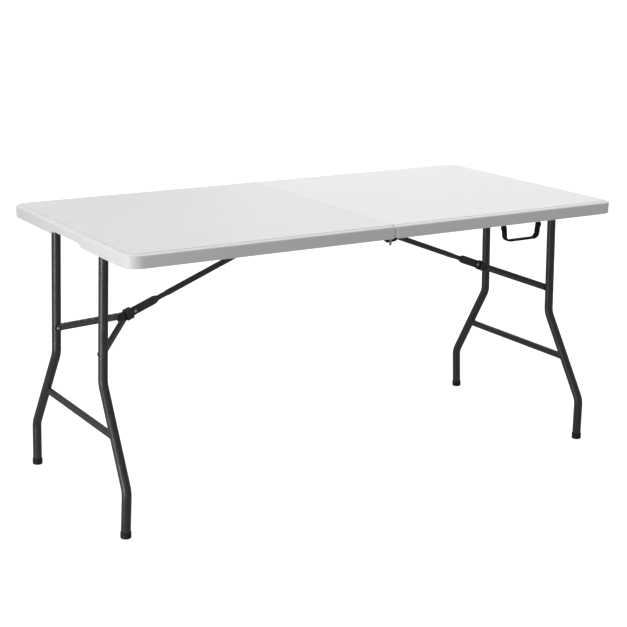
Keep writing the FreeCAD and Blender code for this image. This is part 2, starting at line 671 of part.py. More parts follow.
def brace_arm():
    """The far arm: a strap, straight at the knee, spread to the leg and straight again."""
    body = new_body("arm_body")
    plan = sketch_on(body, "XY_Plane", "arm_plan")
    near, far = "arm_gap", "arm_gap + arm_thickness"
    tab_near, tab_far = "arm_tab_y", "arm_tab_y + arm_thickness"
    tip = "arm_length + arm_end"
    outline(plan, [
        ("-arm_end", near), ("arm_straight", near), ("arm_tab_start + 1", tab_near),
        (tip, tab_near), (tip, tab_far), ("arm_tab_start - 1", tab_far),
        ("arm_straight - 2", far), ("-arm_end", far),
    ])
    pad(body, plan, "arm_strap", "arm_height", midplane=True)
    ends = (-size("arm_end"), size("arm_length") + size("arm_end"))
    rounded(body, "arm_ends", "arm_nose",
            lambda e: e.BoundBox.XLength < 0.01 and e.BoundBox.ZLength < 0.01
            and min(abs(e.BoundBox.XMin - end) for end in ends) < 0.01)
    for name, distance, radius in (
        ("arm_knee_hole", "0", "pin_radius + running_gap"),
        ("arm_leg_hole", "arm_length", "pin_radius"),
    ):
        hole = sketch_on(body, "XZ_Plane", name + "_plan")
        circle(hole, radius, x=distance)
        pocket(body, hole, name, "leg_top_y * 2", midplane=True)
    return at_knee(body)


def arm_rivet():
    """The far brace rivet's part in the arm, with its inner head."""
    body = new_body("arm_rivet_body")
    plan = sketch_on(body, "XZ_Plane", "arm_rivet_section", "-arm_tab_y")
    circle(plan, "pin_radius", x="arm_length")
    pad(body, plan, "arm_rivet_shank", "arm_thickness", reverse=True)
    head = sketch_on(body, "XZ_Plane", "arm_rivet_head_plan", "-arm_tab_y")
    circle(head, "rivet_head_radius", x="arm_length")
    pad(body, head, "arm_rivet_head", "rivet_head")
    return at_knee(body)


def lock_ring():
    """The square ring that slides over the knee and keeps the brace straight."""
    body = new_body("right_brace_lock_ring")
    section = sketch_on(body, "YZ_Plane", "ring_section", "ring_offset - ring_length / 2")
    half_y, half_z = "(ring_inner_width / 2 + ring_wall)", "(ring_inner_height / 2 + ring_wall)"
    rectangle(section, ("-" + half_y, "-" + half_z), (half_y, half_z))
    pad(body, section, "ring_solid", "ring_length")
    rounded(body, "ring_corners", "ring_corner", lambda e: e.BoundBox.XLength > 10)
    inside = sketch_on(body, "YZ_Plane", "ring_opening", "ring_offset - ring_length")
    rectangle(inside, ("-ring_inner_width / 2", "-ring_inner_height / 2"),
              ("ring_inner_width / 2", "ring_inner_height / 2"))
    pocket(body, inside, "ring_hole", "ring_length * 3", reverse=True)
    return at_knee(body)


# ---- strut brackets, handle and screws

def strut_bracket():
    """A clevis under the panel: a plate with two ears for the strut's pin."""
    plate = block("bracket_plate", "plate_half_length * 2", "plate_half_width * 2",
                  "plate_thickness", x="anchor_x - plate_back",
                  y="-plate_half_width", z=f"{CEILING} - plate_thickness")
    pieces_here = [plate]
    for name, y in (("ear_far", "ear_inside"), ("ear_near", "-ear_inside - ear_thickness")):
        pieces_here.append(block(
            name, "ear_half_length * 2", "ear_thickness", f"{CEILING} - anchor_z",
            x="anchor_x - ear_half_length", y=y, z="anchor_z"))
        pieces_here.append(round_bar(
            name + "_end", "ear_nose", "ear_thickness",
            x="anchor_x", y=y, z="anchor_z", along=Y_AXIS))
    hole = round_bar("bracket_hole", "pin_radius", "plate_half_width * 2",
                     x="anchor_x", y="-plate_half_width", z="anchor_z", along=Y_AXIS)
    return trimmed("right_strut_bracket", fused("bracket_solid", *pieces_here), hole)


def bracket_pin():
    reach = "(ear_inside + ear_thickness)"
    shank = round_bar("bracket_shank", "pin_radius", f"2 * {reach}",
                      x="anchor_x", y=f"-{reach}", z="anchor_z", along=Y_AXIS)
    heads = [
        round_bar("bracket_head", "rivet_head_radius", "rivet_head",
                  x="anchor_x", y=y, z="anchor_z", along=Y_AXIS)
        for y in (reach, f"-{reach} - rivet_head")
    ]
    return fused("right_strut_pin", shank, *heads)


def screws():
    """Pan screws up through the bracket plate and the side rails' flanges."""
    plate = f"{CEILING} - plate_thickness"
    flange = "rail_outside - flange_screw"
    spots = [
        (f"anchor_x {along}", f"{side}plate_screw_side")
        for along in ("- plate_screw_back", "+ plate_screw_front") for side in ("-", "")
    ]
    spots += [(x, side + f"({flange})") for x in ("first_screw", "middle_screw", "last_screw")
              for side in ("-", "")]
    return fused("right_frame_screws", *[
        round_bar("screw_head", "screw_head_radius", "screw_head", x=x, y=y,
                  z=f"{plate} - screw_head")
        for x, y in spots
    ])


def handle_bail():
    """A flat strap bent to a U, hanging from two pivots and free to swing outwards."""
    body = new_body("handle_body")
    spine = sketch_on(body, "XZ_Plane", "handle_line")
    half, drop, flare = size("handle_half_width"), size("handle_drop"), size("handle_flare")
    middle, top = size("handle_x"), size("handle_pivot_z")
    bottom = ("handle_pivot_z - handle_drop", top - drop)
    bent_line(spine, [
        (("handle_x - handle_half_width", middle - half), value("handle_pivot_z")),
        (("handle_x - handle_half_width + handle_flare", middle - half + flare), bottom),
        (("handle_x + handle_half_width - handle_flare", middle + half - flare), bottom),
        (("handle_x + handle_half_width", middle + half), value("handle_pivot_z")),
    ], "handle_corner")
    section = sketch_on(body, "XY_Plane", "strap_section", "handle_pivot_z")
    edge = "handle_x - handle_half_width"
    rectangle(section, (f"{edge} - strap_thickness / 2", "-strap_width / 2"),
              (f"{edge} + strap_thickness / 2", "strap_width / 2"))
    doc.recompute()
    pipe(body, section, spine, "strap_pipe")
    place(body, y="-handle_y")
    outer = [body]
    for name, x in (("left_eye", "handle_x - handle_half_width - strap_thickness / 2"),
                    ("right_eye", "handle_x + handle_half_width - strap_thickness / 2")):
        outer.append(round_bar(name, "strap_width / 2", "strap_thickness", x=x,
                               y="-handle_y", z="handle_pivot_z", along=X_AXIS))
    hole = round_bar("eye_holes", "pin_radius", "handle_half_width * 4",
                     x="handle_x - handle_half_width * 2", y="-handle_y",
                     z="handle_pivot_z", along=X_AXIS)
    return trimmed("carry_handle", fused("handle_solid", *outer), hole)


def handle_ends():
    """The X position of each strap's outer face and the way its lug lies, as formulas."""
    half = "(handle_half_width + strap_thickness / 2 + lug_gap)"
    return ((f"handle_x - {half} - lug_thickness", f"handle_x - {half} - lug_plate"),
            (f"handle_x + {half}", f"handle_x + {half}"))


def handle_brackets():
    """Two angle brackets on the near rail, each with a lug outside the strap."""
    solids, holes = [], []
    for n, (lug_x, plate_x) in enumerate(handle_ends()):
        solids.append(block(f"lug_{n}", "lug_thickness", "leaf_thickness * 2",
                            "leaf_high - handle_pivot_z + lug_toe",
                            x=lug_x, y="-rail_outside - leaf_thickness * 2",
                            z="handle_pivot_z - lug_toe"))
        solids.append(round_bar(f"lug_end_{n}", "lug_nose", "lug_thickness",
                                x=lug_x, y="-handle_y", z="handle_pivot_z", along=X_AXIS))
        solids.append(block(f"lug_foot_{n}", "lug_plate", "leaf_thickness",
                            "leaf_high - leaf_low", x=plate_x,
                            y="-rail_outside - leaf_thickness", z="leaf_low"))
        holes.append(round_bar(f"lug_hole_{n}", "pin_radius + running_gap",
                               "lug_thickness * 3", x=f"{lug_x} - lug_thickness",
                               y="-handle_y", z="handle_pivot_z", along=X_AXIS))
    return trimmed("handle_brackets", fused("handle_brackets_solid", *solids), *holes)


def handle_rivets():
    """The two rivets that the handle swings on."""
    solids = []
    inner = "(handle_half_width - strap_thickness / 2 - rivet_room)"
    outer = "(handle_half_width + strap_thickness / 2 + lug_gap + lug_thickness)"
    length = "strap_thickness + lug_gap + lug_thickness + rivet_room"
    for n, (shank_x, in_x, out_x) in enumerate((
        (f"handle_x - {outer}", f"handle_x - {inner}", f"handle_x - {outer} - rivet_head"),
        (f"handle_x + {inner}", f"handle_x + {inner} - rivet_head", f"handle_x + {outer}"),
    )):
        for name, radius, span, x in (
            ("handle_shank", "pin_radius", length, shank_x),
            ("handle_inner_head", "rivet_head_radius", "rivet_head", in_x),
            ("handle_outer_head", "rivet_head_radius", "rivet_head", out_x),
        ):
            solids.append(round_bar(f"{name}_{n}", radius, span, x=x, y="-handle_y",
                                    z="handle_pivot_z", along=X_AXIS))
    return fused("handle_rivets", *solids)


# ---- the table, piece by piece

pieces = {}


def keep(name, obj):
    """Lists an object as a piece of the table under its own name."""
    obj.Label = name
    pieces[name] = obj
    return obj


def keep_both_sides(name, right):
    """The right piece and its mirror image on the left half."""
    keep("right_" + name, right)
    keep("left_" + name, mirrored("left_" + name, right, X_AXIS))


def keep_all_corners(name, far_right):
    """A piece that is there four times: near and far, left and right."""
    near_right = mirrored("near_right_" + name, far_right, Y_AXIS)
    keep_both_sides("far_" + name, far_right)
    keep_both_sides("near_" + name, near_right)


def keep_pair_across(name, far_right):
    """A near and far pair that shares one node on each half."""
    near = mirrored(name + "_near_one", far_right, Y_AXIS)
    pair = fused(name + "_pair", far_right, near)
    keep_both_sides(name, pair)


keep_both_sides("table_top", half_top())
keep_all_corners("side_rail", side_rail())
far_leaves = (
    ("right_far_hinge_leaf", leaf("far_right_leaf", "rail_outside - rail_wall - leaf_thickness", 1)),
    ("left_far_hinge_leaf", leaf("far_left_leaf", "rail_outside", -1)),
)
for node, far_leaf in far_leaves:
    keep(node, far_leaf)
    near_node = node.replace("far", "near")
    keep(near_node, mirrored(near_node, far_leaf, Y_AXIS))
for node, far_piece in (
    ("hinge_pin", hinge_pin()), ("hinge_catch", hinge_catch()), ("catch_rivet", catch_rivet()),
):
    keep("far_" + node, far_piece)
    keep("near_" + node, mirrored("near_" + node, far_piece, Y_AXIS))

keep_all_corners("leg", leg_tube())
keep_all_corners("foot_cap", foot_cap())
keep_both_sides("leg_pivot_tube", pivot_tube())
keep_both_sides("leg_crossbar", leg_crossbar())
keep_pair_across("leg_rivets", leg_rivet())

keep_both_sides("brace_strut", strut())
keep_both_sides("brace_joint_rivet", knee_rivet())
keep_all_corners("brace_arm", brace_arm())
keep_pair_across("arm_rivets", arm_rivet())
keep_both_sides("brace_lock_ring", lock_ring())
keep_both_sides("strut_bracket", strut_bracket())
keep_both_sides("strut_pin", bracket_pin())
keep_both_sides("frame_screws", screws())

keep("carry_handle", handle_bail())
keep("handle_brackets", handle_brackets())
keep("handle_rivets", handle_rivets())

doc.recompute()
for obj in doc.Objects:
    faults = {"Invalid", "Error"} & set(obj.State)
    assert not faults, f"{obj.Name} is {faults}"
for name, obj in pieces.items():
    shape = obj.Shape
    assert not shape.isNull() and shape.isValid() and shape.Solids, f"{name} has no valid solid"

os.makedirs("parts", exist_ok=True)
for name, obj in pieces.items():
    obj.Shape.exportStep(os.path.join("parts", name + ".step"))
print(len(pieces), "pieces")
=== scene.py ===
import json
import math

import bmesh
import bpy
from mathutils import Matrix, Vector, noise


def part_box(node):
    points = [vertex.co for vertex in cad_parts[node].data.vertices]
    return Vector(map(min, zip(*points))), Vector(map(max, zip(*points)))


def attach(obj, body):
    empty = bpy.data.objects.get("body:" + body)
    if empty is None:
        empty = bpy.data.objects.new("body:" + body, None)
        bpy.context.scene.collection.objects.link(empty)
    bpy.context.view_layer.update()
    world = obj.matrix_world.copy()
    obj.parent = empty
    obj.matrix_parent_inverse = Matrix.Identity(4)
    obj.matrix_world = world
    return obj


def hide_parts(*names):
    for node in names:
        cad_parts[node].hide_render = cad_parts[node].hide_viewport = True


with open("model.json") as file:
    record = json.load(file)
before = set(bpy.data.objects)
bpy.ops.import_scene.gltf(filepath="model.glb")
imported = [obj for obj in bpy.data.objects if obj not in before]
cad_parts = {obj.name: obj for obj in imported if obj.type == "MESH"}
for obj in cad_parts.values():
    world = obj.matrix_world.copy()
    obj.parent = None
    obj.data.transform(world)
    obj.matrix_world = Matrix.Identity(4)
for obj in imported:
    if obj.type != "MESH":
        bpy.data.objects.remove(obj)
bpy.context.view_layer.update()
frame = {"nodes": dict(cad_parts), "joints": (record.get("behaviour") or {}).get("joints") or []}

NODES = frame["nodes"]
JOINTS = {joint["name"]: joint for joint in frame["joints"]}
MM = 0.001
SIDES = {"left": -1, "right": 1}
ROWS = {"near": -1, "far": 1}


# ---- materials: every one is a small node tree in object space

class Paint:
    """A Principled material with helpers for noise, ramps and bumps in metres."""

    def __init__(self, name, **sockets):
        self.material = bpy.data.materials.new(name)
        self.material.use_nodes = True
        self.tree = self.material.node_tree
        self.shader = self.tree.nodes["Principled BSDF"]
        self.place = self.tree.nodes.new("ShaderNodeTexCoord").outputs["Object"]
        self.normal = None
        for socket, number in sockets.items():
            self.shader.inputs[socket.replace("_", " ")].default_value = number

    def node(self, kind, **inputs):
        made = self.tree.nodes.new(kind)
        for name, source in inputs.items():
            self.feed(made.inputs[name.replace("_", " ")], source)
        return made

    def feed(self, socket, source):
        if isinstance(source, bpy.types.NodeSocket):
            self.tree.links.new(source, socket)
        else:
            socket.default_value = source

    def stretched(self, x, y, z):
        mapping = self.node("ShaderNodeMapping", Vector=self.place)
        mapping.inputs["Scale"].default_value = (x, y, z)
        return mapping.outputs["Vector"]

    def noise(self, scale, detail=3.0, roughness=0.5, place=None):
        made = self.node("ShaderNodeTexNoise", Vector=place or self.place, Scale=scale,
                         Detail=detail, Roughness=roughness)
        return made.outputs["Fac"]

    def cells(self, scale):
        made = self.node("ShaderNodeTexVoronoi", Vector=self.place, Scale=scale)
        made.feature = "SMOOTH_F1"
        return made.outputs["Distance"]

    def ramp(self, source, low, high, at=(0.3, 0.7)):
        made = self.node("ShaderNodeValToRGB", Fac=source)
        for element, position, shade in zip(made.color_ramp.elements, at, (low, high)):
            element.position = position
            element.color = (*shade, 1) if hasattr(shade, "__len__") else (shade,) * 3 + (1,)
        return made.outputs["Color"]

    def mixed(self, share, first, second):
        made = self.tree.nodes.new("ShaderNodeMix")
        made.data_type = "RGBA"
        self.feed(made.inputs[0], share)
        self.feed(made.inputs[6], first)
        self.feed(made.inputs[7], second)
        return made.outputs[2]

    def bump(self, height, distance, strength=1.0):
        made = self.node("ShaderNodeBump", Height=height, Distance=distance, Strength=strength)
        if self.normal is not None:
            self.tree.links.new(self.normal, made.inputs["Normal"])
        self.normal = made.outputs["Normal"]

    def done(self, colour, roughness):
        self.feed(self.shader.inputs["Base Color"], colour)
        self.feed(self.shader.inputs["Roughness"], roughness)
        if self.normal is not None:
            self.tree.links.new(self.normal, self.shader.inputs["Normal"])
        return self.material


def grey(level, warmth=0.0):
    return (level * (1 + warmth), level, level * (1 - warmth))


def moulded_top(name, level):
    """Blow-moulded polyethylene: a fine pebble grain, faint flow streaks and soft clouding."""
    paint = Paint(name, Specular_IOR_Level=0.4)
    flow = paint.noise(9, 4, 0.6, paint.stretched(0.25, 5.0, 1.0))
    cloudy = paint.mixed(paint.ramp(paint.noise(2.2, 2), 0.0, 1.0),
                         paint.ramp(flow, grey(level * 0.945, 0.002), grey(level * 0.985, 0.001)),
                         paint.ramp(flow, grey(level * 0.970, 0.001), grey(level)))
    specks = paint.ramp(paint.noise(900, 2), 0.0, 1.0, (0.42, 0.62))
    colour = paint.mixed(specks, cloudy, grey(level * 0.965) + (1,))
    paint.bump(paint.cells(620), 0.35 * MM, 0.6)
    paint.bump(paint.noise(1500, 2), 0.12 * MM, 0.5)
    return paint.done(colour, paint.ramp(flow, 0.42, 0.52))


def powder_coat(name, level, roughness):
    """Hammered powder coat on steel: shallow cells, a little mottled."""
    paint = Paint(name, Specular_IOR_Level=0.55)
    cells = paint.cells(330)
    mottle = paint.mixed(paint.ramp(paint.noise(45, 4), 0.0, 1.0),
                         paint.ramp(cells, grey(level * 0.75), grey(level * 1.15), (0.1, 0.75)),
                         paint.ramp(cells, grey(level * 0.9), grey(level * 1.5), (0.1, 0.75)))
    paint.bump(cells, 0.4 * MM, 0.7)
    paint.bump(paint.noise(1100, 2), 0.1 * MM, 0.5)
    dull = paint.ramp(paint.noise(120, 3), roughness - 0.07, roughness + 0.08)
    return paint.done(mottle, dull)


def black_plastic(name, level):
    """Injection-moulded black plastic with a spark-eroded grain."""
    paint = Paint(name, Specular_IOR_Level=0.3)
    tint = paint.ramp(paint.noise(90, 4), grey(level * 0.7), grey(level * 1.8))
    paint.bump(paint.noise(1400, 2), 0.15 * MM, 0.7)
    return paint.done(tint, paint.ramp(paint.noise(300, 3), 0.48, 0.64))


def satin_black(name, level):
    """Smooth satin black paint with a faint orange peel."""
    paint = Paint(name, Specular_IOR_Level=0.14)
    tint = paint.ramp(paint.noise(70, 3), grey(level * 0.7), grey(level * 1.8))
    paint.bump(paint.noise(420, 1), 0.1 * MM, 0.6)
    return paint.done(tint, paint.ramp(paint.noise(160, 3), 0.40, 0.52))


def bright_zinc(name, level):
    """Zinc plate with a drawn grain and dull patches."""
    paint = Paint(name, Metallic=1.0)
    grain = paint.noise(700, 3, 0.6, paint.stretched(1.0, 0.15, 1.0))
    patches = paint.ramp(paint.noise(150, 4), grey(level * 0.75, 0.01), grey(level, 0.02))
    paint.bump(grain, 0.06 * MM, 0.6)
    return paint.done(patches, paint.ramp(grain, 0.26, 0.46))


def weld_bead_paint(name, level):
    """Powder coat pooled over a weld."""
    paint = Paint(name, Specular_IOR_Level=0.42)
    tint = paint.ramp(paint.noise(260, 4), grey(level * 0.7), grey(level * 1.3))
    paint.bump(paint.noise(520, 3), 0.4 * MM, 0.8)
    return paint.done(tint, paint.ramp(paint.noise(400, 2), 0.34, 0.5))


# One plastic in two copies: the left half's lower level is painted shade and the right half's
# higher level is painted light, standing in for the two halves' slightly different tilt to the
# lamps.
TOP_LEFT_SHADED = moulded_top("moulded_top_left_shaded", 0.83)
TOP_RIGHT_LIT = moulded_top("moulded_top_right_lit", 0.87)
STEEL = powder_coat("powder_coated_steel", 0.024, 0.40)
HIDDEN_STEEL = powder_coat("powder_coated_rails", 0.045, 0.50)
WELD = weld_bead_paint("painted_weld", 0.028)
BLACK = black_plastic("black_plastic", 0.009)
SATIN = satin_black("satin_black_steel", 0.003)
ZINC = bright_zinc("zinc_plate", 0.50)


def dress(obj, material):
    obj.data.materials.clear()
    obj.data.materials.append(material)


# ---- mesh building

def new_piece(name, mesh, material, body, smooth=40):
    """An object from a bmesh, shaded smooth up to an angle, riding on a CAD body."""
    data = bpy.data.meshes.new(name)
    bmesh.ops.recalc_face_normals(mesh, faces=mesh.faces)
    mesh.to_mesh(data)
    mesh.free()
    obj = bpy.data.objects.new(name, data)
    bpy.context.scene.collection.objects.link(obj)
    data.polygons.foreach_set("use_smooth", [True] * len(data.polygons))
    data.set_sharp_from_angle(angle=math.radians(smooth))
    dress(obj, material)
    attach(obj, body)
    return obj


def skin_rings(mesh, rings, closed=False, caps=True):
    """Faces between rings of points; the ends are capped unless the row closes on itself."""
    made = [[mesh.verts.new(point) for point in ring] for ring in rings]
    pairs = list(zip(made, made[1:])) + ([(made[-1], made[0])] if closed else [])
    for first, second in pairs:
        for n in range(len(first)):
            on = (n + 1) % len(first)
            mesh.faces.new((first[n], first[on], second[on], second[n]))
    if caps and not closed:
        mesh.faces.new(made[0][::-1])
        mesh.faces.new(made[-1])


def lathe(mesh, profile, frame_matrix, steps=32):
    """Turns (distance along, radius) pairs about the matrix's Z axis."""
    rings = []
    for along, radius in profile:
        ring = []
        for n in range(steps):
            angle = 2 * math.pi * n / steps
            ring.append(frame_matrix @ Vector((radius * math.cos(angle),
                                               radius * math.sin(angle), along)))
        rings.append(ring)
    skin_rings(mesh, rings)


def facing(origin, direction):
    """A matrix at origin whose Z axis points along direction."""
    turn = Vector(direction).to_track_quat("Z", "Y").to_matrix().to_4x4()
    return Matrix.Translation(origin) @ turn


def solids(node):
    """The lowest and highest corners of each separate solid of a CAD node."""
    mesh = bmesh.new()
    mesh.from_mesh(NODES[node].data)
    bmesh.ops.remove_doubles(mesh, verts=mesh.verts, dist=1e-6)
    left, boxes = set(mesh.verts), []
    while left:
        group, edge = set(), [left.pop()]
        while edge:
            vert = edge.pop()
            group.add(vert)
            fresh = [link.other_vert(vert) for link in vert.link_edges]
            fresh = [other for other in fresh if other in left]
            left.difference_update(fresh)
            edge += fresh
        places = [vert.co for vert in group]
        boxes.append((Vector([min(p[k] for p in places) for k in range(3)]),
                      Vector([max(p[k] for p in places) for k in range(3)])))
    mesh.free()
    return sorted(boxes, key=lambda box: tuple(box[0]))


def superellipse(half_a, half_b, power, steps):
    """Points round a superellipse; a power of 2 is an ellipse and more is squarer."""
    points = []
    for n in range(steps):
        angle = 2 * math.pi * (n + 0.5) / steps
        c, d = math.cos(angle), math.sin(angle)
        points.append((math.copysign(abs(c) ** (2 / power), c) * half_a,
                       math.copysign(abs(d) ** (2 / power), d) * half_b))
    return points


# ---- rivets and screws

RIVET_SHANK, RIVET_HEAD, RIVET_RISE = 2.98 * MM, 4.8 * MM, 2 * MM
RIVET_SEAT = 0.02 * MM
HINGE_HEAD, HINGE_RISE = 4.2 * MM, 1.5 * MM


def dome(radius, height, steps=7):
    """A domed head as (distance from its seat, radius) pairs, rim first."""
    rows = [(0.0, radius * 0.94), (height * 0.16, radius)]
    for n in range(1, steps):
        angle = math.pi / 2 * n / steps
        rows.append((height * (0.16 + 0.84 * math.sin(angle)), radius * math.cos(angle)))
    return rows + [(height, radius * 0.02)]


def rolled(radius, height):
    """A tubular rivet's rolled rim with a round hollow in its middle."""
    return [
        (0.0, radius * 0.92), (height * 0.35, radius), (height * 0.75, radius * 0.94),
        (height, radius * 0.78), (height * 0.92, radius * 0.62), (height * 0.5, radius * 0.53),
        (height * 0.1, radius * 0.50), (height * 0.1, radius * 0.02),
    ]


def rivet(mesh, low, high, axis, first, last):
    """A rivet that fills a box along one axis; first and last are head profiles or None."""
    start = (low + high) / 2
    start[axis] = low[axis]
    direction = Vector([1.0 if k == axis else 0.0 for k in range(3)])
    length = high[axis] - low[axis]
    rows = []
    if first:
        rise = max(along for along, radius in first)
        rows += [(rise - along, radius) for along, radius in reversed(first)]
    rows.append((rows[-1][0] + RIVET_SEAT if rows else 0.0, RIVET_SHANK))
    seat = length - (max(along for along, radius in last) if last else 0.0)
    rows.append((seat - RIVET_SEAT, RIVET_SHANK))
    if last:
        rows += [(seat + along, radius) for along, radius in last]
    lathe(mesh, rows, facing(start, direction), 28)


def rivets(name, node, body, axis, near_heads, material):
    """Replaces a node of rivets; a near rivet's two heads change places on the far side."""
    mesh = bmesh.new()
    for low, high in solids(node):
        first, last = near_heads[::-1] if low.y + high.y > 0 else near_heads
        rivet(mesh, low, high, axis, first, last)
    piece = new_piece(name, mesh, material, body)
    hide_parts(node)


def all_rivets():
    head = dome(RIVET_HEAD, RIVET_RISE)
    tube_head = rolled(RIVET_HEAD, RIVET_RISE)
    for side in SIDES:
        rivets(side + "_knee_rivet", side + "_brace_joint_rivet", side + "_strut", 1,
               (head, head), ZINC)
        rivets(side + "_anchor_pin", side + "_strut_pin", side + "_half", 1,
               (head, head), ZINC)
        rivets(side + "_leg_tube_rivets", side + "_leg_rivets", side + "_legs", 1,
               (tube_head, None), STEEL)
        rivets(side + "_arm_inner_rivets", side + "_arm_rivets", side + "_arms", 1,
               (None, head), ZINC)
    rivets("handle_pivot_rivets", "handle_rivets", "handle", 0,
           (head, head), SATIN)
    outer, inner = dome(HINGE_HEAD, HINGE_RISE), dome(HINGE_HEAD, RIVET_RISE)
    for row in ROWS:
        rivets(row + "_hinge_rivet", row + "_hinge_pin", "left_half", 1,
               (outer, inner), SATIN)


SCREW_STEPS = 32
RECESS_TIP, RECESS_ROOT, RECESS_HALF_ANGLE = 0.50, 0.17, 0.3
RECESS_RIM, RECESS_FLOOR = (0.9, 1.0), (0.35, 0.8)  # shares of the rise and of the width


def screws():
    """Pan heads with a cross recess, on the undersides of the rails and brackets."""
    for side in SIDES:
        mesh = bmesh.new()
        for low, high in solids(side + "_frame_screws"):
            middle = (low + high) / 2
            middle.z = high.z
            down = facing(middle, (0, 0, -1))
            radius, rise = (high.x - low.x) / 2, high.z - low.z
            rings = []
            for along, reach in dome(radius, rise)[:-1]:
                rings.append([down @ Vector((reach * math.cos(a), reach * math.sin(a), along))
                              for a in (2 * math.pi * n / SCREW_STEPS
                                        for n in range(SCREW_STEPS))])
            for depth, width in (RECESS_RIM, RECESS_FLOOR):
                ring = []
                for n in range(SCREW_STEPS):
                    angle = 2 * math.pi * n / SCREW_STEPS
                    off_arm = min(angle % (math.pi / 2), -angle % (math.pi / 2))
                    arm = RECESS_TIP if off_arm < RECESS_HALF_ANGLE else RECESS_ROOT
                    ring.append(down @ Vector((radius * arm * width * math.cos(angle),
                                               radius * arm * width * math.sin(angle),
                                               rise * depth)))
                rings.append(ring)
            skin_rings(mesh, rings)
        piece = new_piece(side + "_pan_screws", mesh, ZINC, side + "_half", 30)
        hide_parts(side + "_frame_screws")


# ---- the folding brace

BRACE_SLOPE = math.radians(21.0657)
STRUT_LENGTH = 579.92 * MM
TUBE_HALF = 8 * MM
NECK_HALF = 6.9 * MM
TUBE_END = 9.5 * MM
TONGUE = (2.5 * MM, 12 * MM)
ROUND, PRESSED = 2.0, 5.0  # superellipse powers of the tube and of its tongue
TAPER_STEPS, NOSE_STEPS = 8, 9
TONGUE_START, TAPER, NECK, TAIL = 60 * MM, 16 * MM, 24 * MM, 55 * MM


def brace_frame(side, sign, joint):
    """X down the brace from a joint, Z square to it, mirrored on the left half."""
    mirror = Matrix.Scale(sign, 4, (1, 0, 0))
    start = Vector(JOINTS[side + joint]["pos_m"])
    return Matrix.Translation(start) @ mirror @ Matrix.Rotation(BRACE_SLOPE, 4, "Y")


def struts():
    """The long tube, necked down, pressed flat towards the knee and rounded at its tail."""
    flat_from = STRUT_LENGTH - TONGUE_START
    neck_to = flat_from - TAPER
    tube_to = neck_to - NECK
    stations = [(-TUBE_END, TUBE_HALF * 0.86), (-TUBE_END + 0.5 * MM, TUBE_HALF * 0.97),
                (-TUBE_END + 1.3 * MM, TUBE_HALF), (tube_to - 2.2 * MM, TUBE_HALF),
                (tube_to - 0.8 * MM, TUBE_HALF * 0.97), (tube_to, TUBE_HALF * 0.9),
                (tube_to + 0.8 * MM, NECK_HALF * 1.01), (tube_to + 2 * MM, NECK_HALF)]
    rows = [(x, radius, radius, ROUND) for x, radius in stations]
    for n in range(TAPER_STEPS + 1):
        share = 0.5 - 0.5 * math.cos(math.pi * n / TAPER_STEPS)
        rows.append((neck_to + TAPER * n / TAPER_STEPS,
                     NECK_HALF + (TONGUE[0] - NECK_HALF) * share,
                     NECK_HALF + (TONGUE[1] - NECK_HALF) * share,
                     ROUND + (PRESSED - ROUND) * share))
    tail = STRUT_LENGTH + TAIL
    nose = TONGUE[1]
    for n in range(NOSE_STEPS + 1):
        share = n / NOSE_STEPS
        angle = math.pi / 2 * share
        rows.append((tail - nose + nose * math.sin(angle), TONGUE[0] * (1 - 0.2 * share ** 3),
                     max(nose * math.cos(angle), 0.4 * MM), PRESSED - 2.5 * share))
    for side, sign in SIDES.items():
        where = brace_frame(side, sign, "_strut_swing")
        mesh = bmesh.new()
        skin_rings(mesh, [[where @ Vector((x, y, z)) for y, z in superellipse(a, b, power, 40)]
                          for x, a, b, power in rows])
        piece = new_piece(side + "_pressed_strut", mesh, STEEL, side + "_strut")
        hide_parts(side + "_brace_strut")


ARM_INNER, ARM_OUTER = 3 * MM, 138.6 * MM
ARM_THICK = 3 * MM
ARM_HALF = 10 * MM
RIB_RISE = 0.9 * MM
ARM_STRAIGHT, ARM_TAB, ARM_REACH, ARM_END = 31 * MM, 163 * MM, 170.88 * MM, 9 * MM


def between(x, start, end, low, high):
    """A straight run from low at start to high at end, level beyond both."""
    return low + (high - low) * min(max((x - start) / (end - start), 0), 1)


def arms():
    """Straps with a pressed rib, eased bends and round ends, from the knee to each leg."""
    first, last, steps = -ARM_END, ARM_REACH + ARM_END, 84
    stations = [first + (last - first) * n / steps for n in range(steps + 1)]
    for side, sign in SIDES.items():
        where = brace_frame(side, sign, "_knee_bend")
        for row, across in ROWS.items():
            mesh = bmesh.new()
            skin_rings(mesh, [arm_ring(where, x, across, first, last) for x in stations])
            name = f"{side}_{row}_ribbed_arm"
            piece = new_piece(name, mesh, STEEL, side + "_arms", 35)
            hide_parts(f"{side}_{row}_brace_arm")


def arm_ring(where, x, across, first, last):
    """One section of an arm: a strap whose outer face carries a rib on the spread part."""
    face = between(x, ARM_STRAIGHT, ARM_TAB + 1 * MM, ARM_INNER, ARM_OUTER)
    back = between(x, ARM_STRAIGHT - 2 * MM, ARM_TAB - 1 * MM, ARM_INNER, ARM_OUTER) + ARM_THICK
    thick = back - face
    fade = between(min(x - ARM_STRAIGHT, ARM_TAB - x), 2 * MM, 12 * MM, 0.0, 1.0)
    rib = RIB_RISE * fade
    inset = max(ARM_HALF * 0.94 - min(x - first, last - x), 0)
    half = math.sqrt(max(ARM_HALF ** 2 - inset ** 2, (1.6 * MM) ** 2))
    edge = 0.5 * MM
    outer = [(thick - edge, -half), (thick, -half + edge), (thick, -half * 0.36),
             (thick + rib, -half * 0.22), (thick + rib * 1.1, 0.0), (thick + rib, half * 0.22),
             (thick, half * 0.36), (thick, half - edge), (thick - edge, half)]
    inner = [(edge, half), (0.0, half - edge), (0.0, half * 0.3), (rib * 0.8, 0.0),
             (0.0, -half * 0.3), (0.0, -half + edge), (edge, -half)]
    return [where @ Vector((x, across * (face + depth), z)) for depth, z in outer + inner]


# ---- welds on the legs

